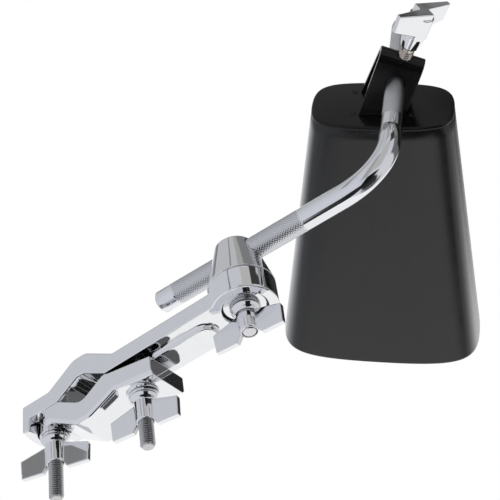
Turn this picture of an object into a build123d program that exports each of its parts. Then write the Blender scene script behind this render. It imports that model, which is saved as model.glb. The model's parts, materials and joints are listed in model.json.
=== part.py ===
# Cowbell on a bent rod with a two-jaw pipe clamp. Millimetres.
# Frame: origin on the axis of the pipe held in the jaws, half way along the jaw width;
# +X along the clamp arm towards the boss, +Y away from the player, +Z up along the jaw bolts.
import os
from math import atan, cos, radians, sin, sqrt, tan

from build123d import *

os.makedirs("parts", exist_ok=True)

# ---- clamp arm and jaws ----
jaw_width = 20.5          # size of both jaws and of the arm along Y
pipe_r = 6.35             # half-inch tube held with the jaws shut
notch_slope = 30.0        # degrees, flats on both sides of the round notch
notch_half = pipe_r / sin(radians(notch_slope))
arm_thick = 7.3
land_left = -32.0         # outer face of the lip
lip_inner = -28.1
lip_drop = 5.8
lip_bulge = 1.8           # the lip's outer face is bowed by this much at mid width
hump_top = 15.7
hump_flat = 3.5           # half length of the top of the hump
hump_foot = 17.5          # where the hump meets the land
rib_half = 5.0            # stiffening rib under the arm
rib_drop = 2.5
rib_start = 31.0
rib_end = 61.5
rib_root = 1.8            # hollow where the rib meets the arm
hump_round = 6.5
hump_foot_round = 3.0
lip_round = 1.2
jaw_gap = 0.25            # air between the shut jaws on the land
jaw_left = -20.5
jaw_land_depth = 7.2
jaw_keel = 15.8           # depth of the middle of the lower jaw
keel_left = -3.2
keel_right = 3.6
keel_rise_left = -17.2    # where the keel's left flank meets the land
jaw_knee = 17.0           # where the keel's right flank meets the flat end
jaw_knee_depth = 10.1
jaw_right = 36.0
jaw_right_top = 4.9       # depth of the right end's upper and lower edges
jaw_right_low = 13.0
jaw_lead_in = 1.1         # the notch's right edge is eased by this much
jaw_round = 6.0           # inner bends of the lower jaw
jaw_corner = 1.8
jaw_edge = 1.2            # eased lower edges of the lower jaw

# ---- bolts ----
bolt_r = 3.0              # M6
bolt_x = 23.6             # both jaw bolts, on either side of the pipe
bolt_end = -36.0          # lower end of the jaw bolts
head_flats = 10.0
head_height = 4.0
bolt_tip = 0.8            # chamfer of the bolts' ends
slip = 0.08               # radial room of a plate that slides along a bolt
turn = 0.05               # radial room of a turning joint
nose_r = 6.3              # round end of the lower jaw about the left bolt
nose_room = 0.7           # air round it in the lip's pocket
pad_face = -11.9          # flat seat on the lower jaw about the right bolt
pad_seat_r = 6.6
pad_high = 4.0

# ---- washers and wing nuts ----
washer_r = 6.0
washer_thick = 1.4
nut_flange_thick = 1.5
nut_sleeve_r = 4.1
nut_height = 11.5
wing_reach = 15.0
wing_thick = 2.4
wing_root = 2.4           # depth where the wing's top leaves the sleeve
wing_top = 6.0            # the wing's outer end, in depth below the nut's seat
wing_bottom = 14.4
left_nut_turn = 18.5      # degrees of each nut's wings away from the arm's line
right_nut_turn = 9.5
boss_nut_turn = 5.7

# ---- boss, collar and eyebolt ----
boss_x = 76.0
boss_low_r = 13.3
boss_r = 13.5             # widest, where the boss meets the collar
boss_top = 10.6
boss_recess_r = 9.2
boss_recess = 2.5
boss_washer_thick = 1.2
spring_washer_r = 6.0
slit_at = 4.2             # middle of the spring washer's slit, along X and along Y
slit_turn = 65.0          # degrees
slit_width = 0.8
rod_z = 26.4              # axis of the rod's lower leg
swivel_turn = 2.1         # degrees that the rod points away from the arm's line
collar_rim_r = 8.3        # the collar tapers from the boss's radius to this rim
collar_rim = 31.2
collar_top = 33.0
collar_dome = 2.8         # width of the rounded edge round the top
seam_edge = 0.2           # eased edges of the boss and the collar where they meet
eye_thick = 7.0
eye_r = 6.1
eye_room = 0.2            # air round the eye in the collar's slot
eye_travel = 4.0          # the slot lets the eye draw down and up by this much
stud_end = -11.6          # lower end of the eyebolt

# ---- rod ----
rod_r = 4.75              # 9.5 mm lower leg and bend
rod_tip_r = 4.25          # 8.5 mm upper end
rod_tail = 38.2           # boss axis to the lower tip
rod_reach = 69.75         # boss axis to the corner of the bend
bend_turn = 79.2          # degrees
bend_r = 23.5
rod_lean = 14.45          # degrees that the upper leg leans about the lower leg
step_at = 26.8            # corner to the step down in diameter
tip_at = 112.3            # corner to the far tip
tail_chamfer = 1.0
tip_round = 2.2
step_chamfer = 0.35

# ---- bell ----
bell_spin = 30.9          # degrees of the bell about the upper leg
bell_at = 65.85           # corner to the middle of the bell along the upper leg
bell_drop = 12.8          # rod axis above the bell's top plate
bell_side = 5.5           # rod axis beside the middle of the top plate
bell_length = 130.5
top_size = (61.3, 36.1)
mouth_size = (97.8, 57.3)
top_fullness = 0.84       # handle length of the outline's quarter curves
mouth_fullness = 0.855
sheet = 1.6
top_round = 1.1           # rounded rim of the top plate

# ---- bracket and wing bolt ----
strap_thick = 2.3
strap_width = 19.2
strap_height = 25.8
strap_foot = 9.75         # half distance over the legs at the top plate
strap_bend_r = 5.0        # outer radius of the crown
strap_lean = 19.0         # degrees
strap_room = 6.0          # legs drawn this far past the plate before they are trimmed
strap_beside = 0.2        # the strap stands this far beside the plate's middle
strap_ahead = 1.0         # and this far ahead of it
rod_room = 0.08           # radial room between the rod and the bracket's holes
pad_r = 2.8
pad_thick = 1.5
hub_from = 29.4           # height of the handle's hub along the strap
hub_waist = 36.0
hub_low_r = 3.7
hub_high_r = 5.2
hub_top = 45.2
handle_turn = 37.5        # degrees of the handle's wings about the wing bolt
handle_top = 47.9
handle_reach = 15.4
handle_heel = 2.0         # each wing starts this far behind the bolt's axis
handle_offset = 3.3       # each wing stands this far off the bolt's axis, on opposite sides
handle_thick = 2.2        # at the tips
handle_root = 5.4         # at the other end of each wing
tip_lean = 0.4            # a tip's top stands this far out from its foot
tip_rise = 4.2            # foot of the tip above the hub's waist
heel_rise = 0.2           # and of the wing's other end
screw_top = 44.0
spot_r = 1.2              # spot weld marks on the top plate
spot_half_x = 12.7
spot_half_y = 8.6
spot_height = 0.35


def save(builder, name):
    """Writes one finished piece under its own name."""
    builder.part.label = name
    export_step(builder.part, f"parts/{name}.step")


# ---------------------------------------------------------------- frames
along = Vector(cos(radians(swivel_turn)), sin(radians(swivel_turn)), 0)
across = Vector(0, 0, 1).cross(along)
lean = Vector(0, 0, 1) * cos(radians(rod_lean)) + across * sin(radians(rod_lean))
upper = along * cos(radians(bend_turn)) + lean * sin(radians(bend_turn))
eye = Vector(boss_x, 0, rod_z)
corner = eye + along * rod_reach

facing = Vector(0, -1, 0)
facing = (facing - upper * facing.dot(upper)).normalized()
bell_up = facing.rotate(Axis((0, 0, 0), upper), bell_spin)
bell_across = upper.cross(bell_up)
top_middle = corner + upper * bell_at - bell_up * bell_drop - bell_across * bell_side

boss_plane = Plane(origin=(boss_x, 0, 0), x_dir=along, z_dir=(0, 0, 1))
lower_rod_plane = Plane(origin=eye, x_dir=across, z_dir=along)
bend_plane = Plane(origin=corner, x_dir=along, z_dir=along.cross(lean))
upper_rod_plane = Plane(origin=corner, x_dir=bell_across, z_dir=upper)
bell_plane = Plane(origin=top_middle, x_dir=bell_across, z_dir=bell_up)

# The strap leans sideways over the top plate: its own frame has z up the strap and y along the rod.
strap_up = bell_up * cos(radians(strap_lean)) + bell_across * sin(radians(strap_lean))
strap_across = bell_across * cos(radians(strap_lean)) - bell_up * sin(radians(strap_lean))
strap_base = top_middle + strap_across * strap_beside + upper * strap_ahead
strap_plane = Plane(origin=strap_base, x_dir=strap_across, z_dir=strap_up)
rod_over_plate = bell_drop * cos(radians(strap_lean)) + bell_side * sin(radians(strap_lean))
rod_beside_strap = (bell_side * cos(radians(strap_lean)) - bell_drop * sin(radians(strap_lean))
                    - strap_beside)
pad_from = rod_over_plate + rod_tip_r + 0.02


# ---------------------------------------------------------------- shared shapes
def notch_points(side):
    """Where the round notch meets its flats, above (side 1) or below (side -1) the pipe."""
    touch_x = pipe_r * sin(radians(notch_slope))
    touch_z = pipe_r * cos(radians(notch_slope)) * side
    return touch_x, touch_z


def oval(plane, width, depth, fullness):
    """A rounded outline on the plane, made of four equal quarter curves."""
    a = width / 2
    b = depth / 2
    k = fullness
    with BuildSketch(plane) as outline:
        with BuildLine():
            Bezier((a, 0), (a, k * b), (k * a, b), (0, b))
            Bezier((0, b), (-k * a, b), (-a, k * b), (-a, 0))
            Bezier((-a, 0), (-a, -k * b), (-k * a, -b), (0, -b))
            Bezier((0, -b), (k * a, -b), (a, -k * b), (a, 0))
        make_face()
    return outline.sketch.face()


# ---------------------------------------------------------------- clamp arm
with BuildPart() as clamp_arm:
    with BuildSketch(Plane.XZ):
        with BuildLine():
            touch_x, touch_z = notch_points(1)
            edge = Polyline(
                (-touch_x, touch_z),
                (-notch_half, 0),
                (lip_inner, 0),
                (lip_inner, -lip_drop),
                (land_left - lip_bulge, -lip_drop),
                (land_left - lip_bulge, arm_thick),
                (-hump_foot, arm_thick),
                (-hump_flat, hump_top),
                (hump_flat, hump_top),
                (hump_foot, arm_thick),
                (boss_x, arm_thick),
                (boss_x, 0),
                (notch_half, 0),
                (touch_x, touch_z),
            )
            RadiusArc(edge @ 1, edge @ 0, -pipe_r)
        make_face()
    extrude(amount=jaw_width / 2, both=True)
    # soft bends of the hump
    humps = clamp_arm.edges().filter_by(Axis.Y)
    high = humps.filter_by_position(Axis.Z, hump_top - 0.1, hump_top + 0.1)
    fillet(high, radius=hump_round)
    feet = clamp_arm.edges().filter_by(Axis.Y).filter_by_position(Axis.Z, arm_thick - 0.1, arm_thick + 0.1)
    fillet(feet.filter_by_position(Axis.X, -hump_foot - 0.1, hump_foot + 0.1), radius=hump_foot_round)
    # bowed outer face of the lip
    with BuildSketch(Plane.XY.offset(-lip_drop)):
        with BuildLine():
            ThreePointArc(
                (land_left, -jaw_width / 2), (land_left - lip_bulge, 0), (land_left, jaw_width / 2)
            )
            Polyline(
                (land_left, jaw_width / 2),
                (land_left - 2 * lip_bulge, jaw_width / 2),
                (land_left - 2 * lip_bulge, -jaw_width / 2),
                (land_left, -jaw_width / 2),
            )
        make_face()
    extrude(amount=lip_drop + arm_thick, mode=Mode.SUBTRACT)
    # boss at the far end
    with Locations((boss_x, 0, 0)):
        Cone(boss_low_r, boss_r, boss_top, align=(Align.CENTER, Align.CENTER, Align.MIN))
    # stiffening rib under the arm
    with BuildSketch(Plane.XY.offset(-rib_drop)):
        with Locations(((rib_start + rib_end) / 2, 0)):
            SlotOverall(rib_end - rib_start, 2 * rib_half)
    extrude(amount=rib_drop + 0.5, taper=-6)
    root = clamp_arm.faces().filter_by(Axis.Z).filter_by_position(Axis.Z, -0.01, 0.01)
    root = root.filter_by(lambda face: len(face.inner_wires()) > 0)
    fillet(root.face().inner_wires()[0].edges(), radius=rib_root)
    # pocket in the lip for the round end of the lower jaw
    with Locations((-bolt_x, 0, 0)):
        Cylinder(
            nose_r + nose_room, lip_drop, align=(Align.CENTER, Align.CENTER, Align.MAX), mode=Mode.SUBTRACT
        )
    # holes for the jaw bolts
    with Locations((-bolt_x, 0, 0), (bolt_x, 0, 0)):
        Cylinder(bolt_r + slip, 2 * hump_top, mode=Mode.SUBTRACT)
    # recess and hole for the eyebolt
    with Locations((boss_x, 0, 0)):
        Cylinder(boss_recess_r, boss_recess, align=(Align.CENTER, Align.CENTER, Align.MIN), mode=Mode.SUBTRACT)
        Cylinder(bolt_r + turn, 3 * boss_top, mode=Mode.SUBTRACT)
    # rounded corner of the lip and broken top edges
    tip = clamp_arm.edges().filter_by_position(Axis.Z, -lip_drop - 0.1, -lip_drop + 0.1)
    fillet(tip.sort_by(Axis.X)[0], radius=lip_round)
    rim = clamp_arm.edges().filter_by(GeomType.CIRCLE).filter_by_position(Axis.Z, boss_top - 0.1, boss_top + 0.1)
    chamfer(rim.sort_by(SortBy.LENGTH)[-1], length=seam_edge)
save(clamp_arm, "clamp_arm")

# ---------------------------------------------------------------- lower jaw
with BuildPart() as lower_jaw:
    with BuildSketch(Plane.XZ):
        with BuildLine():
            touch_x, touch_z = notch_points(-1)
            flat_in = notch_half - jaw_gap / tan(radians(notch_slope))
            edge = Polyline(
                (touch_x, touch_z),
                (notch_half - jaw_lead_in, -jaw_lead_in * tan(radians(notch_slope))),
                (jaw_right, -jaw_right_top),
                (jaw_right, -jaw_right_low),
                (jaw_knee, -jaw_knee_depth),
                (keel_right, -jaw_keel),
                (keel_left, -jaw_keel),
                (keel_rise_left, -jaw_land_depth),
                (jaw_left, -jaw_land_depth),
                (jaw_left, -jaw_gap),
                (-flat_in, -jaw_gap),
                (-touch_x, touch_z),
            )
            RadiusArc(edge @ 1, edge @ 0, -pipe_r)
        make_face()
    extrude(amount=jaw_width / 2, both=True)
    ridges = lower_jaw.edges().filter_by(Axis.Y)
    keel = ridges.filter_by_position(Axis.Z, -jaw_keel - 0.1, -jaw_keel + 0.1)
    fillet(keel, radius=jaw_round)
    knee = lower_jaw.edges().filter_by(Axis.Y).filter_by_position(Axis.X, jaw_knee - 0.1, jaw_knee + 0.1)
    fillet(knee, radius=jaw_round)
    # eased lower edges along both sides
    flanks = lower_jaw.faces().filter_by(Axis.Y).edges().filter_by_position(
        Axis.Z, -2 * jaw_keel, -jaw_land_depth + 0.01
    )
    chamfer(flanks.filter_by(lambda edge: abs(edge.tangent_at(0.5).Z) < 0.9), length=jaw_edge)
    # upright corners of both ends
    ends = lower_jaw.edges().filter_by(Axis.Z)
    fillet(ends.filter_by_position(Axis.X, jaw_left - 0.1, jaw_left + 0.1), radius=jaw_corner)
    # round end about the left bolt
    with Locations((-bolt_x, 0, -jaw_gap)):
        Cylinder(nose_r, jaw_land_depth - jaw_gap, align=(Align.CENTER, Align.CENTER, Align.MAX))
    # flat seat about the right bolt: metal above its face, and air below it
    with Locations((bolt_x, 0, pad_face)):
        Cylinder(pad_seat_r, pad_high, align=(Align.CENTER, Align.CENTER, Align.MIN))
        Cylinder(
            pad_seat_r, pad_high, align=(Align.CENTER, Align.CENTER, Align.MAX), mode=Mode.SUBTRACT
        )
    with Locations((-bolt_x, 0, 0), (bolt_x, 0, 0)):
        Cylinder(bolt_r + slip, 4 * jaw_keel, mode=Mode.SUBTRACT)
save(lower_jaw, "lower_jaw")


# ---------------------------------------------------------------- jaw bolts
def make_jaw_bolt(x):
    """Hex bolt dropped through both jaws, its head on the arm's land."""
    with BuildPart() as bolt:
        with BuildSketch(Plane.XY.offset(arm_thick)):
            with Locations((x, 0)):
                RegularPolygon(head_flats / 2, 6, major_radius=False, rotation=30)
        extrude(amount=head_height)
        # corners of the head turned off to a cone
        with BuildSketch(Plane.XZ):
            with BuildLine():
                Polyline(
                    (x + head_flats / 2, arm_thick + head_height + 1),
                    (x + head_flats / 2 - 0.2, arm_thick + head_height),
                    (x + head_flats / 2 + 1.4, arm_thick + head_height - 0.9),
                    (x + head_flats / 2 + 1.4, arm_thick + head_height + 1),
                    close=True,
                )
            make_face()
        revolve(axis=Axis((x, 0, 0), (0, 0, 1)), mode=Mode.SUBTRACT)
        with Locations((x, 0, arm_thick)):
            Cylinder(bolt_r, arm_thick - bolt_end, align=(Align.CENTER, Align.CENTER, Align.MAX))
        tip = bolt.edges().filter_by(GeomType.CIRCLE).sort_by(Axis.Z)[0]
        chamfer(tip, length=bolt_tip)
    return bolt


# ---------------------------------------------------------------- washers
def make_washer(plane, radius, hole, thick):
    """Flat washer whose upper face lies on the plane."""
    with BuildPart() as washer:
        with BuildSketch(plane):
            Circle(radius)
            Circle(hole, mode=Mode.SUBTRACT)
        extrude(amount=-thick)
        rim = washer.edges().filter_by(GeomType.CIRCLE).sort_by(SortBy.RADIUS)[-2:]
        fillet(rim, radius=0.4)
    return washer


# ---------------------------------------------------------------- wing nuts
def make_wing_nut(plane):
    """Wing nut seated on the plane and hanging down from it."""
    with BuildPart() as nut:
        with BuildSketch(Plane(origin=plane.origin, x_dir=plane.x_dir, z_dir=-plane.y_dir)):
            with BuildLine():
                Polyline(
                    (bolt_r + turn, 0),
                    (washer_r - 0.4, 0),
                    (washer_r - 0.1, -0.5),
                    (nut_sleeve_r + 1.0, -nut_flange_thick),
                    (nut_sleeve_r, -nut_flange_thick - 1.0),
                    (nut_sleeve_r - 0.3, -nut_height + 0.5),
                    (nut_sleeve_r - 0.7, -nut_height),
                    (bolt_r + turn, -nut_height),
                    close=True,
                )
            make_face()
        revolve(axis=Axis(plane.origin, plane.z_dir))
        # two flat wings on opposite sides of the sleeve, their corners eased near the bolt
        for side in (1, -1):
            face = Plane(origin=plane.origin, x_dir=plane.x_dir * side, z_dir=-plane.y_dir * side)
            with BuildSketch(face):
                with BuildLine():
                    Polyline(
                        (nut_sleeve_r - 1.0, -wing_root),
                        (wing_reach, -wing_top),
                        (wing_reach - 0.5, -wing_bottom),
                        (nut_sleeve_r + 1.2, -wing_bottom),
                        (nut_sleeve_r - 1.0, -nut_height + 0.5),
                        close=True,
                    )
                make_face()
            extrude(amount=wing_thick / 2, both=True)
        with BuildSketch(plane):
            Circle(bolt_r + turn)
        extrude(amount=-2 * nut_height, mode=Mode.SUBTRACT)
    return nut


seat_left = -jaw_land_depth
seat_right = pad_face
pieces = (
    ("left", -bolt_x, seat_left, left_nut_turn),
    ("right", bolt_x, seat_right, right_nut_turn),
)
for side, x, seat, wing_turn in pieces:
    bolt = make_jaw_bolt(x)
    save(bolt, f"jaw_bolt_{side}")
    washer = make_washer(Plane((x, 0, seat)), washer_r, bolt_r + slip, washer_thick)
    save(washer, f"jaw_washer_{side}")
    wing_dir = (cos(radians(wing_turn)), sin(radians(wing_turn)), 0)
    nut = make_wing_nut(Plane(origin=(x, 0, seat - washer_thick), x_dir=wing_dir, z_dir=(0, 0, 1)))
    save(nut, f"jaw_wing_nut_{side}")

# ---------------------------------------------------------------- swivel collar
with BuildPart() as swivel_collar:
    with BuildSketch(Plane(origin=(boss_x, 0, 0), x_dir=along, z_dir=-across)):
        with BuildLine():
            Polyline(
                (bolt_r + turn, boss_top),
                (boss_r - seam_edge, boss_top),
                (boss_r, boss_top + seam_edge),
                (collar_rim_r, collar_rim),
            )
            ThreePointArc(
                (collar_rim_r, collar_rim),
                (collar_rim_r - 0.4 * collar_dome, collar_top - 0.25 * collar_dome),
                (collar_rim_r - collar_dome, collar_top),
            )
            Polyline(
                (collar_rim_r - collar_dome, collar_top),
                (bolt_r + turn, collar_top),
                (bolt_r + turn, boss_top),
            )
        make_face()
    revolve(axis=Axis((boss_x, 0, 0), (0, 0, 1)))
    # hole for the rod
    with BuildSketch(lower_rod_plane):
        Circle(rod_r + turn)
    extrude(amount=2 * boss_r, both=True, mode=Mode.SUBTRACT)
    # slot for the eye of the bolt, open at the top, and the hole for its shank
    with BuildSketch(lower_rod_plane):
        SlotCenterPoint((0, eye_travel), (0, -eye_travel), 2 * (eye_r + eye_room))
    extrude(amount=eye_thick / 2 + eye_room, both=True, mode=Mode.SUBTRACT)
    with Locations((boss_x, 0, boss_top)):
        Cylinder(bolt_r + turn, rod_z - boss_top, mode=Mode.SUBTRACT)
save(swivel_collar, "swivel_collar")

# ---------------------------------------------------------------- eyebolt
with BuildPart() as eyebolt:
    with BuildSketch(lower_rod_plane):
        Circle(eye_r)
    extrude(amount=eye_thick / 2, both=True)
    with Locations((boss_x, 0, rod_z)):
        Cylinder(bolt_r, rod_z - stud_end, align=(Align.CENTER, Align.CENTER, Align.MAX))
    with BuildSketch(lower_rod_plane):
        Circle(rod_r + turn)
    extrude(amount=eye_thick, both=True, mode=Mode.SUBTRACT)
    tip = eyebolt.edges().filter_by(GeomType.CIRCLE).sort_by(Axis.Z)[0]
    chamfer(tip, length=0.5)
save(eyebolt, "eyebolt")

boss_washer = make_washer(
    Plane((boss_x, 0, boss_recess)), boss_recess_r - 0.6, bolt_r + slip, boss_washer_thick
)
save(boss_washer, "boss_washer")

# split spring washer below the flat one
spring_face = boss_recess - boss_washer_thick
with BuildPart() as spring_washer:
    with BuildSketch(Plane((boss_x, 0, spring_face))):
        Circle(spring_washer_r)
        Circle(bolt_r + slip, mode=Mode.SUBTRACT)
        # the slit runs outwards, slanted to the radius
        with Locations(Location((slit_at, slit_at), slit_turn)):
            Rectangle(spring_washer_r, slit_width, mode=Mode.SUBTRACT)
    extrude(amount=-washer_thick)
save(spring_washer, "boss_spring_washer")

boss_wing = radians(boss_nut_turn)
boss_wing_nut = make_wing_nut(
    Plane(
        origin=(boss_x, 0, spring_face - washer_thick),
        x_dir=(cos(boss_wing), sin(boss_wing), 0),
        z_dir=(0, 0, 1),
    )
)
save(boss_wing_nut, "boss_wing_nut")

# ---------------------------------------------------------------- bent rod
bend_leg = bend_r * tan(radians(bend_turn / 2))
with BuildPart() as l_rod:
    with BuildLine(bend_plane) as route:
        turn_dir = (cos(radians(bend_turn)), sin(radians(bend_turn)))
        Line((-rod_reach - rod_tail, 0), (-bend_leg, 0))
        JernArc((-bend_leg, 0), (1, 0), bend_r, bend_turn)
        Line(
            (bend_leg * turn_dir[0], bend_leg * turn_dir[1]),
            (step_at * turn_dir[0], step_at * turn_dir[1]),
        )
    with BuildSketch(Plane(origin=corner - along * (rod_reach + rod_tail), z_dir=along)):
        Circle(rod_r)
    sweep(path=route.wires()[0])
    with BuildSketch(upper_rod_plane.offset(step_at)):
        Circle(rod_tip_r)
    extrude(amount=tip_at - step_at)
    ends = l_rod.edges().filter_by(GeomType.CIRCLE)
    lower_end = ends.sort_by(Axis((0, 0, 0), along))[0]
    chamfer(lower_end, length=tail_chamfer)
    far_end = l_rod.edges().filter_by(GeomType.CIRCLE).sort_by(Axis(corner, upper))[-1]
    fillet(far_end, radius=tip_round)
    shoulder = l_rod.edges().filter_by(GeomType.CIRCLE).filter_by_position(
        Axis(corner, upper), step_at - 0.1, step_at + 0.1
    )
    chamfer(shoulder.sort_by(SortBy.RADIUS)[-1], length=step_chamfer)
save(l_rod, "l_rod")

# ---------------------------------------------------------------- bell
with BuildPart() as bell_shell:
    under_top = bell_plane.offset(-sheet)
    mouth = bell_plane.offset(-bell_length)
    for inset, mode in ((0, Mode.ADD), (2 * sheet, Mode.SUBTRACT)):
        upper_outline = oval(under_top, top_size[0] - inset, top_size[1] - inset, top_fullness)
        lower_outline = oval(mouth, mouth_size[0] - inset, mouth_size[1] - inset, mouth_fullness)
        loft(sections=[upper_outline, lower_outline], ruled=True, mode=mode)
save(bell_shell, "bell_shell")

with BuildPart() as bell_top:
    extrude(oval(bell_plane, *top_size, top_fullness), amount=-sheet)
    outer = bell_top.faces().sort_by(Axis(top_middle, bell_up))[-1]
    fillet(outer.edges(), radius=top_round)
    # low round marks of the four spot welds
    with BuildSketch(bell_plane):
        with Locations((0, strap_ahead)):
            with GridLocations(2 * spot_half_x, 2 * spot_half_y, 2, 2):
                Circle(spot_r)
    extrude(amount=spot_height, taper=35)
save(bell_top, "bell_top")

# ---------------------------------------------------------------- bracket
# Seen along its width the strap is an A with a round crown; y runs along the rod.
crown_centre = strap_height - strap_bend_r
leg_length = sqrt(strap_foot ** 2 + crown_centre ** 2 - strap_bend_r ** 2)
leg_lean = atan(strap_foot / crown_centre) - atan(strap_bend_r / leg_length)
side_plane = Plane(origin=strap_base, x_dir=upper, z_dir=strap_across)


def strap_side(grow):
    """Side view of the strap moved in by grow: the foot's x below the plate, the point where the
    leg meets the crown, and the crown's radius."""
    radius = strap_bend_r - grow
    high = (radius * cos(leg_lean), crown_centre + radius * sin(leg_lean))
    foot = high[0] + (high[1] + strap_room) * tan(leg_lean)
    return foot, high, radius


with BuildPart() as bracket:
    with BuildSketch(side_plane):
        for grow, mode in ((0, Mode.ADD), (strap_thick, Mode.SUBTRACT)):
            foot, high, radius = strap_side(grow)
            with BuildLine():
                Polyline((-high[0], high[1]), (-foot, -strap_room), (foot, -strap_room), high)
                ThreePointArc(high, (0, crown_centre + radius), (-high[0], high[1]))
            make_face(mode=mode)
    extrude(amount=strap_width / 2, both=True)
    # the leaning feet are trimmed to the top plate
    with BuildSketch(bell_plane):
        Rectangle(4 * strap_width, 4 * strap_width)
    extrude(amount=-30, mode=Mode.SUBTRACT)
    # punched holes for the rod, through both legs
    with BuildSketch(upper_rod_plane.offset(bell_at)):
        Circle(rod_tip_r + rod_room)
    extrude(amount=2 * strap_foot, both=True, mode=Mode.SUBTRACT)
    # tapped hole for the wing bolt, down into the crown
    with BuildSketch(strap_plane.offset(pad_from - 1)):
        with Locations((rod_beside_strap, 0)):
            Circle(bolt_r + turn)
    extrude(amount=strap_height, mode=Mode.SUBTRACT)
save(bracket, "bracket")

# ---------------------------------------------------------------- wing bolt
screw_plane = Plane(
    origin=strap_base + strap_across * rod_beside_strap, x_dir=strap_across, z_dir=strap_up
)
with BuildPart() as pressure_pad:
    with BuildSketch(screw_plane.offset(pad_from)):
        Circle(pad_r)
    extrude(amount=pad_thick)
    fillet(pressure_pad.edges().filter_by(GeomType.CIRCLE), radius=0.3)
save(pressure_pad, "pressure_pad")

with BuildPart() as screw:
    with BuildSketch(screw_plane.offset(pad_from + pad_thick)):
        Circle(bolt_r)
    extrude(amount=screw_top - pad_from - pad_thick)
    ends = screw.edges().filter_by(GeomType.CIRCLE)
    chamfer(ends, length=0.5)
save(screw, "wing_bolt_screw")

with BuildPart() as handle:
    # two wings on opposite sides of the bolt's axis, each a wedge that thins towards its tip
    wing_along = strap_across * cos(radians(handle_turn)) + upper * sin(radians(handle_turn))
    wing_across = strap_up.cross(wing_along)
    outer = handle_offset + handle_thick / 2
    for side in (1, -1):
        seat = Plane(origin=screw_plane.origin, x_dir=wing_along * side, z_dir=strap_up)
        with BuildSketch(seat.offset(hub_waist)):
            with BuildLine():
                Polyline(
                    (-handle_heel, outer - handle_root),
                    (handle_reach, outer - handle_thick),
                    (handle_reach, outer),
                    (-handle_heel, outer),
                    close=True,
                )
            make_face()
        extrude(amount=handle_top - hub_waist)
        # the underside rises towards a tip that leans outwards; y of this sketch points up
        near = screw_plane.origin + wing_across * side * (outer + 1)
        face = Plane(origin=near, x_dir=wing_along * side, z_dir=-wing_across * side)
        with BuildSketch(face):
            with BuildLine():
                Polyline(
                    (-handle_heel - 1, hub_waist - 1),
                    (handle_reach + 1, hub_waist - 1),
                    (handle_reach + 1, handle_top),
                    (handle_reach, handle_top),
                    (handle_reach - tip_lean, hub_waist + tip_rise),
                    (-handle_heel - 1, hub_waist + heel_rise),
                    close=True,
                )
            make_face()
        extrude(amount=handle_root + 1, mode=Mode.SUBTRACT)
    with BuildSketch(Plane(origin=screw_plane.origin, x_dir=strap_across, z_dir=-upper)):
        with BuildLine():
            Polyline(
                (0, hub_from),
                (hub_low_r - 0.5, hub_from),
                (hub_low_r, hub_from + 0.6),
                (hub_high_r, hub_waist),
                (hub_high_r, hub_top),
                (0, hub_top),
                close=True,
            )
        make_face()
    revolve(axis=Axis(screw_plane.origin, strap_up))
    # socket that the screw is pressed into
    with BuildSketch(screw_plane.offset(hub_from)):
        Circle(bolt_r)
    extrude(amount=screw_top - hub_from, mode=Mode.SUBTRACT)
save(handle, "wing_bolt_handle")
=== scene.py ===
"""Looks of a clamp-mounted cowbell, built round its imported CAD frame. Metres, in the frame's axes."""
import json
import math

import bmesh
import bpy
from mathutils import Matrix, Quaternion, Vector


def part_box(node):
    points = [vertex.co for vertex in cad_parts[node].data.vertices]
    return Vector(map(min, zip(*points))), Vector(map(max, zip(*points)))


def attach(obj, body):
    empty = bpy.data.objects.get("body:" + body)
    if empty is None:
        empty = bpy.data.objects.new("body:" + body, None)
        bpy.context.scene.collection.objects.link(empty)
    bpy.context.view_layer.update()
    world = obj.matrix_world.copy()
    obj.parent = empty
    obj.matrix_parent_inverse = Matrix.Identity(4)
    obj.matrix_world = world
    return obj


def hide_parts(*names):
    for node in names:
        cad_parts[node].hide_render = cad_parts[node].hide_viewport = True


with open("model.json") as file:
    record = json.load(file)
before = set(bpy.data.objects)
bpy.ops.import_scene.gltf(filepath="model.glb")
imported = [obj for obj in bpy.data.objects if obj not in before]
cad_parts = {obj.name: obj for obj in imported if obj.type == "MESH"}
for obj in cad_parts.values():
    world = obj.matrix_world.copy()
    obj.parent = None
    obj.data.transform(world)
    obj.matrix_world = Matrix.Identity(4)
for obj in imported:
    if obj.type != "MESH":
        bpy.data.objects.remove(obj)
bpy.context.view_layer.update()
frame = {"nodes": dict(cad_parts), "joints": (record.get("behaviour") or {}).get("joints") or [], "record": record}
nodes = frame["nodes"]
joints = {joint["name"]: joint for joint in frame["joints"]}
body_of_node = {
    node: body
    for body, members in frame["record"]["behaviour"]["bodies"].items()
    for node in members
}
slot_of_node = {part["node"]: part["material_slot"] for part in frame["record"]["subparts"]}

MM = 0.001

# ---- screws and threads ----
screw_r = 3.0 * MM
thread_pitch = 1.0 * MM
thread_depth = 0.5 * MM
thread_slope = 1.25            # flanks steeper than a plain triangle wave
thread_crest = 0.12            # part of each ridge left at full height
steps_per_turn = 48
rows_per_pitch = 8
thread_from = -5.0 * MM        # height where the jaw bolts' threads start
head_flats = 10.0 * MM
head_height = 4.0 * MM
head_bevel = 0.9 * MM          # height of the bevel that rounds the hexagon's top corners
under_head = 0.15 * MM         # height of the bevel under the head
washer_soft = 0.45 * MM        # rolled rims of the flat washers
washer_hole = 3.08 * MM
eye_half = 3.5 * MM            # half width of the eyebolt's eye
eye_soft = 0.6 * MM

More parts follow.
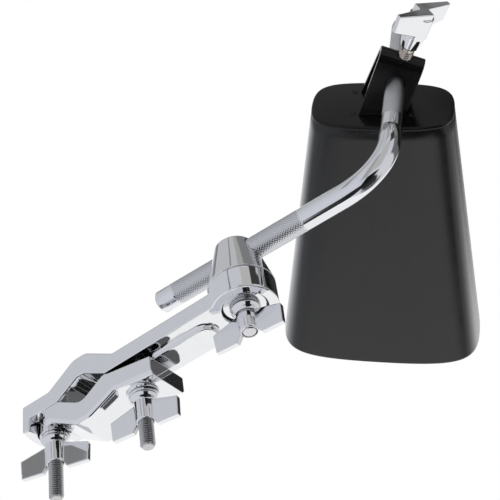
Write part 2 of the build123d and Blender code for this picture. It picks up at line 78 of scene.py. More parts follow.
# ---- rod ----
rod_r = 4.75 * MM
rod_tip_r = 4.25 * MM
rod_tail = 38.2 * MM           # boss axis to the lower tip
rod_reach = 69.75 * MM         # boss axis to the corner of the bend
bend_r = 23.5 * MM
step_at = 26.8 * MM            # corner to the step down in diameter
tip_at = 112.3 * MM            # corner to the far tip
knurl_pitch = 1.2 * MM
upper_pitch = 1.6 * MM         # the upper end's knurl is coarser
knurl_depth = 0.20 * MM
upper_depth = 0.20 * MM
upper_groove_darkening = 0.8               # the upper end's grooves are darkened less than the lower leg's
knurl_teeth = 26
upper_teeth = 18
knurl_flank = 2.6              # the larger, the narrower the grooves between the diamonds
upper_flank = 4.2
knurl_steps = 6                # mesh steps in each tooth, both ways
plain_tail = 8.5 * MM          # smooth end of the lower leg
plain_tip = 2.5 * MM           # and of the upper one
tail_bevel = 1.0 * MM
tip_nose = 2.2 * MM            # rounding of the upper tip
bend_steps = 48
plain_before_bend = 37.0 * MM  # smooth metal between the lower knurl and the corner of the bend
neck_length = 8.1 * MM         # smooth neck above the step down in diameter

# ---- bell ----
bell_spin = 30.9               # degrees of the bell about the upper leg
bell_at = 65.85 * MM
bell_drop = 12.8 * MM
bell_side = 5.5 * MM
bell_length = 130.5 * MM
top_half = (30.65 * MM, 18.05 * MM)
mouth_half = (48.9 * MM, 28.65 * MM)
top_fullness = 0.84
mouth_fullness = 0.855
sheet = 1.6 * MM
plate_soft = 1.1 * MM          # rounded rim of the top plate
spot_at = (12.7 * MM, 8.6 * MM, 1.0 * MM)  # spot welds: half spacings and shift along the rod
bell_rows = 24                 # mesh rows down the bell

# ---- surfaces: noise scales in features per metre ----
cloud_scale = 160.0
speck_scale = 1800.0
mottle_scale = 90.0
gap_shade_reach = 0.006              # how far the painted shade of narrow gaps looks round itself
peel_height = 0.00004          # orange peel of the powder coat
# colour that the groove bottoms are darkened toward
groove_colour = (0.05, 0.05, 0.055, 1)
# painted shade: the colour deep in narrow gaps
gap_shade_colour = (0.02, 0.02, 0.022, 1)
rubbed_colour = (0.10, 0.10, 0.105, 1)

# ---- view ----
camera_at = (0.2350, -0.2742, -0.2660)
camera_azimuth = 29.01
camera_elevation = -43.02
camera_roll = 11.19
camera_lens = 77.98
floor_height = -0.13
upper_wall = 0.62              # the walls' brightness above and below the object
lower_wall = 0.70
wall_tint = (0.97, 0.99, 1.05, 1)


# ---------------------------------------------------------------- node helpers
class Tree:
    """A node tree with short calls for adding nodes and links."""

    def __init__(self, tree):
        self.tree = tree
        tree.nodes.clear()

    def add(self, kind, inputs=None, **settings):
        node = self.tree.nodes.new(kind)
        for key, value in settings.items():
            setattr(node, key, value)
        for key, value in (inputs or {}).items():
            self.set(node, key, value)
        return node

    def set(self, node, key, value):
        socket = node.inputs[key]
        if isinstance(value, bpy.types.NodeSocket):
            self.tree.links.new(value, socket)
        else:
            socket.default_value = value

    def math(self, operation, a, b=0.0, c=0.0):
        node = self.add("ShaderNodeMath", {0: a, 1: b, 2: c}, operation=operation)
        return node.outputs[0]

    def window(self, value, low, high, soft):
        """1 between low and high, falling to 0 over soft on both sides."""
        rise = self.add(
            "ShaderNodeMapRange", {0: value, 1: low - soft, 2: low, 3: 0.0, 4: 1.0},
            interpolation_type="SMOOTHSTEP",
        )
        fall = self.add(
            "ShaderNodeMapRange", {0: value, 1: high, 2: high + soft, 3: 1.0, 4: 0.0},
            interpolation_type="SMOOTHSTEP",
        )
        return self.math("MULTIPLY", rise.outputs[0], fall.outputs[0])


def metal(
    name, colour, roughness, wear, wave=0.0, wave_size=120.0, grain=0.0, grain_size=2500.0,
    groove_darkening=0.0, corners=0.0,
):
    """Plated metal: roughness clouds, faint colour change, casting waves and fine grain in the bump.
    The groove setting darkens the metal toward the bottom of each groove that the mesh's "cut" attribute marks,
    and the corners setting paints shade deep in narrow gaps, found by ambient occlusion."""
    material = bpy.data.materials.new(name)
    material.use_nodes = True
    t = Tree(material.node_tree)
    place = t.add("ShaderNodeNewGeometry").outputs["Position"]
    clouds = t.add("ShaderNodeTexNoise", {"Vector": place, "Scale": cloud_scale, "Detail": 4.0})
    specks = t.add("ShaderNodeTexNoise", {"Vector": place, "Scale": speck_scale, "Detail": 2.0})
    tint = t.add(
        "ShaderNodeMixRGB",
        {0: clouds.outputs["Fac"], 1: (*colour, 1), 2: (*[c * (1 - wear) for c in colour], 1)},
    )
    rough = t.add(
        "ShaderNodeMapRange",
        {0: specks.outputs["Fac"], 1: 0.3, 2: 0.7, 3: roughness * 0.8, 4: roughness * 1.25},
    )
    # darker toward the groove bottoms that the "cut" attribute marks
    if groove_darkening:
        cut = t.add("ShaderNodeAttribute", attribute_name="cut").outputs["Fac"]
        groove_dark = t.math("MULTIPLY", cut, groove_darkening)
        tint = t.add("ShaderNodeMixRGB", {0: groove_dark, 1: tint.outputs[0], 2: groove_colour})
    # painted shade: where ambient occlusion finds little open air, the colour goes toward the gap shade colour
    if corners:
        open_air = t.add("ShaderNodeAmbientOcclusion", {"Distance": gap_shade_reach}, samples=12)
        gap_shade_amount = t.add(
            "ShaderNodeMapRange", {0: open_air.outputs["AO"], 1: 0.05, 2: 0.55, 3: corners, 4: 0.0},
            interpolation_type="SMOOTHSTEP",
        )
        tint = t.add("ShaderNodeMixRGB", {0: gap_shade_amount.outputs[0], 1: tint.outputs[0], 2: gap_shade_colour})
    bump_in = None
    if wave:
        waves = t.add("ShaderNodeTexNoise", {"Vector": place, "Scale": wave_size, "Detail": 1.0})
        bump_in = t.add(
            "ShaderNodeBump", {"Height": waves.outputs["Fac"], "Strength": 1.0, "Distance": wave}
        ).outputs[0]
    if grain:
        grains = t.add("ShaderNodeTexNoise", {"Vector": place, "Scale": grain_size, "Detail": 3.0})
        bump = t.add(
            "ShaderNodeBump", {"Height": grains.outputs["Fac"], "Strength": 1.0, "Distance": grain}
        )
        if bump_in is not None:
            t.set(bump, "Normal", bump_in)
        bump_in = bump.outputs[0]
    shader = t.add(
        "ShaderNodeBsdfPrincipled",
        {"Base Color": tint.outputs[0], "Metallic": 1.0, "Roughness": rough.outputs[0]},
    )
    if bump_in is not None:
        t.set(shader, "Normal", bump_in)
    t.add("ShaderNodeOutputMaterial", {"Surface": shader.outputs[0]})
    return material


def black_coat(name, dark, light, roughness, sheen, rubbed_edges, ior=1.5, peel_size=1500.0):
    """Black powder coat: fine orange peel, faint mottling, rubbed high spots, and a sheen that grows
    where the surface turns away from the eye."""
    material = bpy.data.materials.new(name)
    material.use_nodes = True
    t = Tree(material.node_tree)
    geometry = t.add("ShaderNodeNewGeometry")
    place = geometry.outputs["Position"]
    mottle = t.add("ShaderNodeTexNoise", {"Vector": place, "Scale": mottle_scale, "Detail": 5.0})
    colour = t.add(
        "ShaderNodeMixRGB",
        {0: mottle.outputs["Fac"], 1: (dark, dark, dark, 1), 2: (light, light, light * 1.1, 1)},
    )
    rub = t.add(
        "ShaderNodeMapRange",
        {0: geometry.outputs["Pointiness"], 1: 0.55, 2: 0.68, 3: 0.0, 4: rubbed_edges},
    )
    rubbed = t.add("ShaderNodeMixRGB", {0: rub.outputs[0], 1: colour.outputs[0], 2: rubbed_colour})
    rough = t.add(
        "ShaderNodeMapRange",
        {0: mottle.outputs["Fac"], 1: 0.3, 2: 0.7, 3: roughness * 0.9, 4: roughness * 1.15},
    )
    peel = t.add("ShaderNodeTexNoise", {"Vector": place, "Scale": peel_size, "Detail": 2.0})
    bump = t.add(
        "ShaderNodeBump", {"Height": peel.outputs["Fac"], "Strength": 0.4, "Distance": peel_height}
    )
    shader = t.add(
        "ShaderNodeBsdfPrincipled",
        {
            "Base Color": rubbed.outputs[0], "Roughness": rough.outputs[0],
            "Normal": bump.outputs[0], "IOR": ior,
        },
    )
    gloss = t.add(
        "ShaderNodeBsdfGlossy",
        {"Color": (0.9, 0.9, 0.9, 1), "Roughness": roughness + 0.1, "Normal": bump.outputs[0]},
    )
    facing = t.add("ShaderNodeLayerWeight", {"Blend": 0.5}).outputs["Facing"]
    edge = t.add(
        "ShaderNodeMapRange", {0: facing, 1: 0.42, 2: 1.0, 3: 0.0, 4: sheen},
        interpolation_type="SMOOTHSTEP",
    )
    mix = t.add("ShaderNodeMixShader", {0: edge.outputs[0]})
    t.set(mix, 1, shader.outputs[0])
    t.set(mix, 2, gloss.outputs[0])
    t.add("ShaderNodeOutputMaterial", {"Surface": mix.outputs[0]})
    return material


finish = {
    # corners=0.7 paints shade into the chrome's narrow gaps
    "chrome": metal(
        "chrome", (0.86, 0.865, 0.885), 0.055, 0.05, corners=0.7, wave=0.00010, wave_size=70.0,
    ),
    "bolt_steel": metal("bolt_steel", (0.68, 0.68, 0.69), 0.30, 0.25, grain=0.00003, groove_darkening=0.5),
    "nickel": metal("nickel", (0.66, 0.60, 0.54), 0.22, 0.15, grain=0.00002),
    "brass": metal("brass", (0.72, 0.52, 0.24), 0.25, 0.15, grain=0.00002),
    "black_coat": black_coat("black_coat", 0.003, 0.005, 0.27, 0.75, 0.15),
}
knurled_chrome = metal("knurled_chrome", (0.84, 0.85, 0.88), 0.09, 0.05, groove_darkening=0.5)
bright_steel = metal("bright_steel", (0.74, 0.74, 0.76), 0.18, 0.15, grain=0.00002, groove_darkening=0.8)
bracket_coat = black_coat("bracket_coat", 0.002, 0.003, 0.20, 0.05, 0.35, ior=1.36, peel_size=1100.0)
plate_coat = black_coat("plate_coat", 0.002, 0.003, 0.20, 0.12, 0.02, ior=1.33)


# ---------------------------------------------------------------- mesh helpers
def place_piece(mesh_object, node, *more_nodes, material=None):
    """Puts a finished piece on its body, in its material, in place of CAD nodes."""
    slot = slot_of_node[node]
    mesh_object.data.materials.clear()
    mesh_object.data.materials.append(material or finish[slot])
    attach(mesh_object, body_of_node[node])
    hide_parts(node, *more_nodes)
    return mesh_object


def new_object(name, bm):
    mesh = bpy.data.meshes.new(name)
    bm.to_mesh(mesh)
    bm.free()
    mesh_object = bpy.data.objects.new(name, mesh)
    bpy.context.scene.collection.objects.link(mesh_object)
    return mesh_object


def smooth_shade(mesh_object, angle=40.0):
    """Smooth shading that keeps edges sharper than the angle."""
    mesh = mesh_object.data
    mesh.polygons.foreach_set("use_smooth", [True] * len(mesh.polygons))
    mesh.set_sharp_from_angle(angle=math.radians(angle))


def cast(node, voxel, rounds, material=None):
    """A copy of a CAD node rebuilt on a fine grid and smoothed, so that its edges are soft."""
    bm = bmesh.new()
    bm.from_mesh(nodes[node].data)
    bmesh.ops.remove_doubles(bm, verts=bm.verts, dist=1e-6)
    piece = new_object(node + "_looks", bm)
    grid = piece.modifiers.new("grid", "REMESH")
    grid.mode = "VOXEL"
    grid.voxel_size = voxel
    grid.use_smooth_shade = True
    smooth = piece.modifiers.new("smooth", "SMOOTH")
    smooth.factor = 0.5
    smooth.iterations = rounds
    return place_piece(piece, node, material=material)


def frame_along(axis, hint):
    """Two unit vectors square to the axis, the first as near the hint as it goes."""
    axis = Vector(axis).normalized()
    first = (Vector(hint) - axis * axis.dot(Vector(hint))).normalized()
    return axis, first, axis.cross(first)


def mark_cuts(bm, depths):
    """Writes how deep each vertex lies in a groove, 0 to 1, for darkening the grooves."""
    layer = bm.verts.layers.float.new("cut")
    for vertex, depth in zip(bm.verts, depths):
        vertex[layer] = depth


def skin(bm, rings, closed=False, caps=True):
    """Joins equal rings of points with four-sided faces.
    A closed skin also joins the last ring to the first; an open one gets caps at both ends."""
    loops = [[bm.verts.new(point) for point in ring] for ring in rings]
    count = len(loops[0])
    pairs = list(zip(loops, loops[1:]))
    if closed:
        pairs.append((loops[-1], loops[0]))
    for low, high in pairs:
        for i in range(count):
            j = (i + 1) % count
            bm.faces.new((low[i], low[j], high[j], high[i]))
    if caps and not closed:
        bm.faces.new(list(reversed(loops[0])))
        bm.faces.new(loops[-1])
    return loops


def turned(bm, origin, axes, rows, columns, closed=False):
    """A turned shape: rows of (height, radius), where a radius may depend on the angle."""
    axis, first, second = axes
    layer = bm.verts.layers.float.get("cut") or bm.verts.layers.float.new("cut")
    rings = []
    depths = []
    for height, radius in rows:
        ring = []
        for i in range(columns):
            angle = 2 * math.pi * i / columns
            reach = radius(angle) if callable(radius) else radius
            outward = first * math.cos(angle) + second * math.sin(angle)
            ring.append(origin + axis * height + outward * reach)
            threaded = callable(radius) and reach < screw_r
            depths.append((screw_r - reach) / thread_depth if threaded else 0.0)
        rings.append(ring)
    loops = skin(bm, rings, closed=closed)
    for vertex, depth in zip((vertex for loop in loops for vertex in loop), depths):
        vertex[layer] = depth


def thread_rows(start, end):
    """Rows of a screw thread from start to end, its ridges fading out over the first turn."""
    way = 1 if end > start else -1
    count = int(abs(end - start) / thread_pitch * rows_per_pitch)
    rows = []
    for k in range(count + 1):
        travel = k * thread_pitch / rows_per_pitch
        height = start + way * travel
        depth = thread_depth * min(1.0, travel / thread_pitch)

        def radius(angle, height=height, depth=depth):
            phase = (height / thread_pitch - angle / (2 * math.pi)) % 1.0
            ridge = abs(phase - 0.5) * 2
            cut = min(1.0, max(0.0, ridge * thread_slope - thread_crest))
            return screw_r - depth * cut

        rows.append((height, radius))
    return rows


def hexagon(flats, limit):
    """Radius of a hexagon at an angle, cut back to a round limit."""
    def radius(angle):
        turn = (angle + math.pi / 6) % (math.pi / 3) - math.pi / 6
        return min(flats / 2 / math.cos(turn), limit)
    return radius


def finish_piece(name, bm, node, angle=35.0, material=None):
    """Cleans a finished piece's normals, shades it and puts it in its CAD node's place."""
    bmesh.ops.recalc_face_normals(bm, faces=bm.faces)
    piece = new_object(name, bm)
    smooth_shade(piece, angle)
    return place_piece(piece, node, material=material)


# ---------------------------------------------------------------- directions
along = Vector(joints["rod_turn"]["axis"]).normalized()
eye = Vector(joints["rod_turn"]["pos_m"])
upper = Vector(joints["bell_slide"]["axis"]).normalized()
corner = eye + along * rod_reach
bend_axis = along.cross(upper).normalized()
bend_turn = along.angle(upper)
strap_up = Vector(joints["wing_bolt_turn"]["axis"]).normalized()
bell_up = Quaternion(upper, math.radians(bell_spin)) @ (
    (Vector((0, -1, 0)) - upper * upper.dot(Vector((0, -1, 0)))).normalized()
)
bell_across = upper.cross(bell_up)
top_middle = corner + upper * bell_at - bell_up * bell_drop - bell_across * bell_side


# ---------------------------------------------------------------- rod
def knurl(distance, start, end, radius, pitch, teeth, flank, full_depth):
    """Radius at an angle on a knurled length of the rod; the diamonds fade at both ends."""
    fade = min(1.0, (distance - start) / pitch, (end - distance) / pitch)
    if fade <= 0:
        return radius
    depth = full_depth * fade

    def at(angle):
        turn = angle / (2 * math.pi) * teeth
        step = distance / pitch
        one = abs((turn + step) % 1.0 - 0.5)
        two = abs((turn - step) % 1.0 - 0.5)
        return radius - depth * (1 - min(1.0, flank * min(one, two)))

    return at


def make_rod():
    """The bent rod: chamfered tail, knurled leg, smooth bend, step down, and knurled upper end."""
    bend_leg = bend_r * math.tan(bend_turn / 2)
    low_knurl = (plain_tail, rod_tail + rod_reach - plain_before_bend)
    high_knurl = (step_at + neck_length, tip_at - plain_tip)
    tail = corner - along * (rod_reach + rod_tail)
    bend_start = corner - along * bend_leg
    centre = bend_start + bend_axis.cross(along) * bend_r
    fine = knurl_pitch / knurl_steps
    stations = [(tail, along, rod_r - tail_bevel), (tail + along * tail_bevel, along, rod_r)]
    stations.append((tail + along * (low_knurl[0] - fine), along, rod_r))
    for k in range(int((low_knurl[1] - low_knurl[0]) / fine) + 1):
        distance = low_knurl[0] + k * fine
        radius = knurl(
            distance, *low_knurl, rod_r, knurl_pitch, knurl_teeth, knurl_flank, knurl_depth
        )
        stations.append((tail + along * distance, along, radius))
    for k in range(bend_steps + 1):
        turn = Quaternion(bend_axis, bend_turn * k / bend_steps)
        stations.append((centre + turn @ (bend_start - centre), turn @ along, rod_r))
    shoulder = ((0.35, rod_r), (0.1, rod_r - 0.12 * MM), (0.0, rod_r - 0.35 * MM), (0.0, rod_tip_r))
    for back, radius in shoulder:
        stations.append((corner + upper * (step_at - back * MM), upper, radius))
    stations.append((corner + upper * (step_at + 2.0 * MM), upper, rod_tip_r))
    fine = upper_pitch / knurl_steps
    for k in range(int((high_knurl[1] - high_knurl[0]) / fine) + 1):
        distance = high_knurl[0] + k * fine
        radius = knurl(
            distance, *high_knurl, rod_tip_r, upper_pitch, upper_teeth, upper_flank, upper_depth
        )
        stations.append((corner + upper * distance, upper, radius))
    for k in range(7):
        angle = math.pi / 2 * k / 6
        reach = tip_at - tip_nose + tip_nose * math.sin(angle)
        radius = rod_tip_r - tip_nose + tip_nose * math.cos(angle)
        stations.append((corner + upper * reach, upper, radius))
    columns = knurl_teeth * knurl_steps
    rings = []
    depths = []
    for point, direction, radius in stations:
        second = direction.cross(bend_axis)
        on_upper = (point - corner).dot(upper) > step_at + neck_length / 2
        crest, scale = (rod_tip_r, upper_groove_darkening / upper_depth) if on_upper else (rod_r, 1 / knurl_depth)
        ring = []
        for i in range(columns):
            angle = 2 * math.pi * i / columns
            reach = radius(angle) if callable(radius) else radius
            ring.append(point + (bend_axis * math.cos(angle) + second * math.sin(angle)) * reach)
            depths.append((crest - reach) * scale if callable(radius) else 0.0)
        rings.append(ring)
    bm = bmesh.new()
    skin(bm, rings)
    mark_cuts(bm, depths)
    finish_piece("knurled_rod", bm, "l_rod", angle=60.0, material=knurled_chrome)


# ---------------------------------------------------------------- screws
def make_jaw_bolt(side):
    """Hex bolt: turned head with six flats, plain shank, thread and chamfered end."""
    low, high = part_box("jaw_bolt_" + side)
    middle = Vector(((low.x + high.x) / 2, 0, 0))
    seat = high.z - head_height
    half = head_flats / 2
    across_corners = half / math.cos(math.pi / 6)
    axes = (Vector((0, 0, 1)), Vector((1, 0, 0)), Vector((0, 1, 0)))
    rows = [(high.z, half - 1.2 * MM), (high.z, half - 0.3 * MM)]
    bevel = ((0.2 * MM, half + 0.02 * MM), (0.5 * MM, half + 0.45 * MM), (head_bevel, across_corners))
    for drop, limit in bevel:
        rows.append((high.z - drop, hexagon(head_flats, limit)))
    rows.append((seat + under_head, hexagon(head_flats, across_corners)))
    rows.append((seat, hexagon(head_flats - 0.3 * MM, across_corners - 0.2 * MM)))
    rows += [(seat, screw_r), (thread_from, screw_r)]
    rows += thread_rows(thread_from - 0.1 * MM, low.z + 0.8 * MM)
    rows += [(low.z, screw_r - 0.85 * MM)]
    bm = bmesh.new()
    turned(bm, middle, axes, rows, steps_per_turn * 2)
    finish_piece("bolt_" + side, bm, "jaw_bolt_" + side)


def make_eyebolt():
    """Threaded stud with its eye round the rod."""
    low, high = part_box("eyebolt")
    middle = Vector((eye.x, eye.y, 0))
    axes = (Vector((0, 0, 1)), Vector((1, 0, 0)), Vector((0, 1, 0)))
    rows = [(eye.z - 5.0 * MM, screw_r), (4.0 * MM, screw_r)]
    rows += thread_rows(3.9 * MM, low.z + 0.5 * MM)
    rows += [(low.z + 0.3 * MM, screw_r - 0.3 * MM), (low.z, screw_r - 0.6 * MM)]
    rows += [(low.z, 1.0 * MM)]
    bm = bmesh.new()
    turned(bm, middle, axes, rows, steps_per_turn)
    outer = high.z - eye.z
    inner = rod_r + 0.05 * MM
    ring = [(-eye_half, inner), (-eye_half, outer - eye_soft), (-eye_half + eye_soft, outer)]
    ring += [(eye_half - eye_soft, outer), (eye_half, outer - eye_soft), (eye_half, inner)]
    turned(bm, eye, (along, bend_axis, along.cross(bend_axis)), ring, 64, closed=True)
    finish_piece("eye_stud", bm, "eyebolt", material=bright_steel)


def make_wing_screw():
    """Plated screw of the wing bolt: smooth shank under the hub, thread down to the pad."""
    place = Vector(joints["wing_bolt_turn"]["pos_m"])
    heights = [(Vector(v.co) - place).dot(strap_up) for v in nodes["wing_bolt_screw"].data.vertices]
    low, high = min(heights), max(heights)
    axes = frame_along(strap_up, upper)
    rows = [(high, screw_r - 0.5 * MM), (high - 0.5 * MM, screw_r), (low + 9.0 * MM, screw_r)]
    rows += thread_rows(low + 8.9 * MM, low + 0.5 * MM)
    rows += [(low, screw_r - 0.7 * MM)]
    bm = bmesh.new()
    turned(bm, place, axes, rows, steps_per_turn)
    finish_piece("plated_screw", bm, "wing_bolt_screw")


def make_washer(node):
    """Flat washer with rolled rims."""
    low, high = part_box(node)
    outer = (high.x - low.x) / 2
    middle = Vector(((low.x + high.x) / 2, (low.y + high.y) / 2, 0))
    axes = (Vector((0, 0, 1)), Vector((1, 0, 0)), Vector((0, 1, 0)))
    soft = washer_soft
    rows = [(low.z, washer_hole), (low.z, outer - soft)]
    for k in range(1, 6):
        angle = math.pi / 2 * k / 6
        rows.append((low.z + soft * (1 - math.cos(angle)), outer - soft + soft * math.sin(angle)))
    rows.append((low.z + soft, outer))
    rows.append((high.z - soft, outer))
    for k in range(1, 6):
        angle = math.pi / 2 * k / 6
        rows.append((high.z - soft + soft * math.sin(angle), outer - soft + soft * math.cos(angle)))
    rows += [(high.z, outer - soft), (high.z, washer_hole)]
    bm = bmesh.new()
    turned(bm, middle, axes, rows, 72, closed=True)
    finish_piece(node + "_looks", bm, node)


# ---------------------------------------------------------------- bell
def oval_points(a, b, fullness, steps=36):
    """Points of a rounded outline with half sizes a and b, made of four equal quarter curves."""
    quarter = []
    for i in range(steps):
        t = i / steps
        u = 1 - t
        x = a * (u**3 + 3 * u * u * t) + 3 * fullness * a * u * t * t
        y = 3 * fullness * b * u * u * t + b * (3 * u * t * t + t**3)
        quarter.append((x, y))
    half = quarter + [(-y * a / b, x * b / a) for x, y in quarter]
    return half + [(-x, -y) for x, y in half]


def bell_ring(depth, inset):
    """The bell's outline at a depth below the top, moved in by the inset."""
    t = max(0.0, (depth - sheet) / (bell_length - sheet))
    a = top_half[0] * (1 - t) + mouth_half[0] * t - inset
    b = top_half[1] * (1 - t) + mouth_half[1] * t - inset
    fullness = top_fullness * (1 - t) + mouth_fullness * t
    origin = top_middle - bell_up * depth
    return [origin + bell_across * x + upper * y for x, y in oval_points(a, b, fullness)]


def make_bell():
    """The flattened body with a rounded mouth edge, and its top plate with four spot welds."""
    rings = [bell_ring(sheet, sheet), bell_ring(sheet, 0.25 * MM), bell_ring(sheet + 0.25 * MM, 0)]
    for k in range(1, bell_rows + 1):
        rings.append(bell_ring(sheet + (bell_length - 2 * sheet) * k / bell_rows, 0))
    soft = sheet / 2
    for k in range(9):
        angle = math.pi * k / 8
        inset = soft * (1 - math.cos(angle))
        rings.append(bell_ring(bell_length - soft + soft * math.sin(angle), inset))
    for k in range(bell_rows, 0, -1):
        rings.append(bell_ring(sheet + (bell_length - 2 * sheet) * k / bell_rows, sheet))
    bm = bmesh.new()
    skin(bm, rings, closed=True)
    finish_piece("bell_body", bm, "bell_shell", angle=50.0)
    rings = [bell_ring(sheet, 0.15 * MM), bell_ring(sheet - 0.15 * MM, 0)]
    for k in range(9):
        angle = math.pi / 2 * k / 8
        rings.append(
            bell_ring(plate_soft * (1 - math.sin(angle)), plate_soft * (1 - math.cos(angle)))
        )
    bm = bmesh.new()
    skin(bm, rings)
    mark = [(-0.2, 1.6), (0.02, 1.55), (0.28, 1.3), (0.34, 1.1), (0.28, 0.9), (0.12, 0.6), (0.1, 0.2)]
    rows = [(height * MM, radius * MM) for height, radius in mark]
    for x in (-spot_at[0], spot_at[0]):
        for y in (-spot_at[1], spot_at[1]):
            middle = top_middle + bell_across * x + upper * (y + spot_at[2])
            turned(bm, middle, (bell_up, bell_across, upper), rows, 32)
    finish_piece("bell_cap", bm, "bell_top", angle=50.0, material=plate_coat)


# ---------------------------------------------------------------- pieces
# Castings and bent strips: the grid's spacing and the rounds of smoothing.
GRID = {
    "clamp_arm": (0.28 * MM, 16),
    "lower_jaw": (0.25 * MM, 16),
    "jaw_wing_nut_left": (0.16 * MM, 6),
    "jaw_wing_nut_right": (0.16 * MM, 6),
    "swivel_collar": (0.2 * MM, 6),
    "boss_wing_nut": (0.16 * MM, 6),
    "bracket": (0.2 * MM, 6),
    "wing_bolt_handle": (0.18 * MM, 8),
    "boss_spring_washer": (0.12 * MM, 4),
    "pressure_pad": (0.12 * MM, 4),
}
for node, (voxel, rounds) in GRID.items():
    cast(node, voxel, rounds, material=bracket_coat if node == "bracket" else None)
make_rod()
make_jaw_bolt("left")
make_jaw_bolt("right")
make_eyebolt()
make_wing_screw()
make_washer("jaw_washer_left")
make_washer("jaw_washer_right")
make_washer("boss_washer")
make_bell()
for node, holder in nodes.items():
    holder.data.materials.clear()
    holder.data.materials.append(finish[slot_of_node[node]])


# ---------------------------------------------------------------- studio
def make_floor():
    """A plain pale floor, clear when it is seen from below and left out of reflections."""
    bm = bmesh.new()
    bmesh.ops.create_grid(bm, x_segments=4, y_segments=4, size=6.0)
    floor = new_object("floor", bm)
    floor.location = (0, 0, floor_height)
    material = bpy.data.materials.new("floor")
    material.use_nodes = True
    t = Tree(material.node_tree)
    geometry = t.add("ShaderNodeNewGeometry")
    cloud = t.add("ShaderNodeTexNoise", {"Vector": geometry.outputs["Position"], "Scale": 3.0})
    tint = t.add(
        "ShaderNodeMixRGB", {0: cloud.outputs["Fac"], 1: (0.86, 0.86, 0.86, 1), 2: (0.9, 0.9, 0.9, 1)}
    )
    paint = t.add("ShaderNodeBsdfPrincipled", {"Base Color": tint.outputs[0], "Roughness": 0.8})
    clear = t.add("ShaderNodeBsdfTransparent")
    mix = t.add("ShaderNodeMixShader", {0: geometry.outputs["Backfacing"]})
    t.set(mix, 1, paint.outputs[0])
    t.set(mix, 2, clear.outputs[0])
    t.add("ShaderNodeOutputMaterial", {"Surface": mix.outputs[0]})
    floor.data.materials.append(material)
    floor.visible_glossy = False


# Walls, softboxes and dark flags: turn range, height range in degrees, brightness, warmth, soft edge.
# Turn is 0 behind the camera, and grows to the camera's right; height is above the horizon.
PANELS = (
    (-400, 400, 56, 120, 0.22, 0.98, 6),
    (-116, 12, 48, 76, 0.54, 0.98, 5),
    (8, 34, 56, 74, 0.40, 1.02, 6),
    (-6, 7, -20, 34, 0.38, 1.0, 4),
    (7, 37, -14, 40, 0.50, 1.02, 4),
    (-38, -34, 24, 72, 0.22, 1.0, 1.5),
    (38, 66, 37, 60, 0.045, 1.0, 3),
    (66, 94, 38, 60, 0.22, 1.0, 3),
    (66, 128, 6, 38, 0.15, 1.0, 4),
    (94, 150, 24, 58, 0.014, 1.0, 4),
    (68, 122, -34, -2, 0.70, 1.0, 5),
    (136, 400, -84, 22, 1.0, 1.0, 7),
    (-400, -142, -84, 22, 1.0, 1.0, 7),
    (-400, -124, -84, -26, 1.0, 1.0, 7),
    (150, 400, 10, 66, 1.0, 1.0, 8),
    (-400, -158, 10, 66, 1.0, 1.0, 8),
    (-60, 46, -120, -52, 0.018, 1.0, 4),
    (-116, -60, -120, -65, 0.03, 1.0, 5),
    (46, 108, -68, -41, 0.03, 1.0, 4),
    (104, 130, -56, -30, 0.12, 1.0, 5),
    (10, 47, -56, -27, 0.010, 1.0, 3),
)


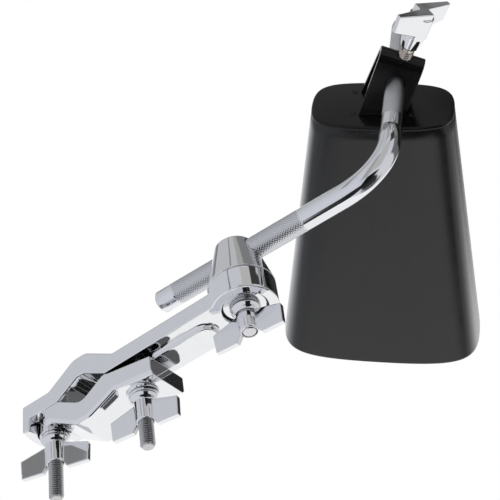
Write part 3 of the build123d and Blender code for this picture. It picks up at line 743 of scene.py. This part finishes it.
def make_world():
    """A studio by direction: soft panels on dark walls, and white for the camera itself."""
    world = bpy.data.worlds.new("studio")
    bpy.context.scene.world = world
    world.use_nodes = True
    t = Tree(world.node_tree)
    ray = t.add("ShaderNodeTexCoord").outputs["Generated"]
    turn = math.radians(camera_azimuth)
    behind = (math.sin(turn), -math.cos(turn), 0)
    right = (math.cos(turn), math.sin(turn), 0)
    back = t.add("ShaderNodeVectorMath", {0: ray, 1: behind}, operation="DOT_PRODUCT").outputs["Value"]
    side = t.add("ShaderNodeVectorMath", {0: ray, 1: right}, operation="DOT_PRODUCT").outputs["Value"]
    up = t.add("ShaderNodeSeparateXYZ", {0: ray}).outputs["Z"]
    psi = t.math("DEGREES", t.math("ARCTAN2", side, back))
    high = t.math("DEGREES", t.math("ARCSINE", up))
    wall = t.add("ShaderNodeMapRange", {0: high, 1: 30.0, 2: -10.0, 3: upper_wall, 4: lower_wall})
    total = t.add(
        "ShaderNodeMixRGB",
        {0: 1.0, 1: wall.outputs[0], 2: wall_tint}, blend_type="MULTIPLY",
    ).outputs[0]
    for left, right_end, low, top, glow, warm, soft in PANELS:
        inside = t.math(
            "MULTIPLY", t.window(psi, left, right_end, soft), t.window(high, low, top, soft)
        )
        panel = t.add(
            "ShaderNodeMixRGB",
            {0: inside, 1: total, 2: (glow * warm, glow, glow * (2 - warm), 1)},
        )
        total = panel.outputs[0]
    seen = t.add("ShaderNodeLightPath").outputs["Is Camera Ray"]
    shown = t.add("ShaderNodeMixRGB", {0: seen, 1: total, 2: (1.0, 1.0, 1.0, 1)})
    sky = t.add("ShaderNodeBackground", {"Color": shown.outputs[0], "Strength": 1.0})
    t.add("ShaderNodeOutputWorld", {"Surface": sky.outputs[0]})


def make_light(name, at, aim, size, power):
    """A large soft lamp that lights the object without showing in the chrome."""
    lamp = bpy.data.lights.new(name, "AREA")
    lamp.shape = "DISK"
    lamp.size = size
    lamp.energy = power
    holder = bpy.data.objects.new(name, lamp)
    bpy.context.scene.collection.objects.link(holder)
    holder.location = at
    holder.rotation_mode = "QUATERNION"
    holder.rotation_quaternion = (Vector(aim) - Vector(at)).to_track_quat("-Z", "Y")
    holder.visible_glossy = False


def make_camera():
    """The camera: turned by azimuth, then lifted by elevation, then rolled about its own view."""
    camera = bpy.data.cameras.new("camera")
    camera.lens = camera_lens
    camera.sensor_width = 36.0
    camera.clip_start = 0.01
    camera.clip_end = 50.0
    holder = bpy.data.objects.new("camera", camera)
    bpy.context.scene.collection.objects.link(holder)
    aim = (
        Matrix.Rotation(math.radians(camera_azimuth), 4, "Z")
        @ Matrix.Rotation(math.radians(90 - camera_elevation), 4, "X")
        @ Matrix.Rotation(math.radians(-camera_roll), 4, "Z")
    )
    holder.matrix_world = Matrix.Translation(camera_at) @ aim
    bpy.context.scene.camera = holder


make_floor()
make_world()
make_light("key", (0.5, -0.7, 0.8), (0.08, 0.04, 0.04), 0.9, 14.0)
make_light("fill", (-0.9, -0.2, 0.3), (0.08, 0.04, 0.04), 1.1, 8.0)
make_camera()
bpy.context.scene.view_settings.view_transform = "Standard"
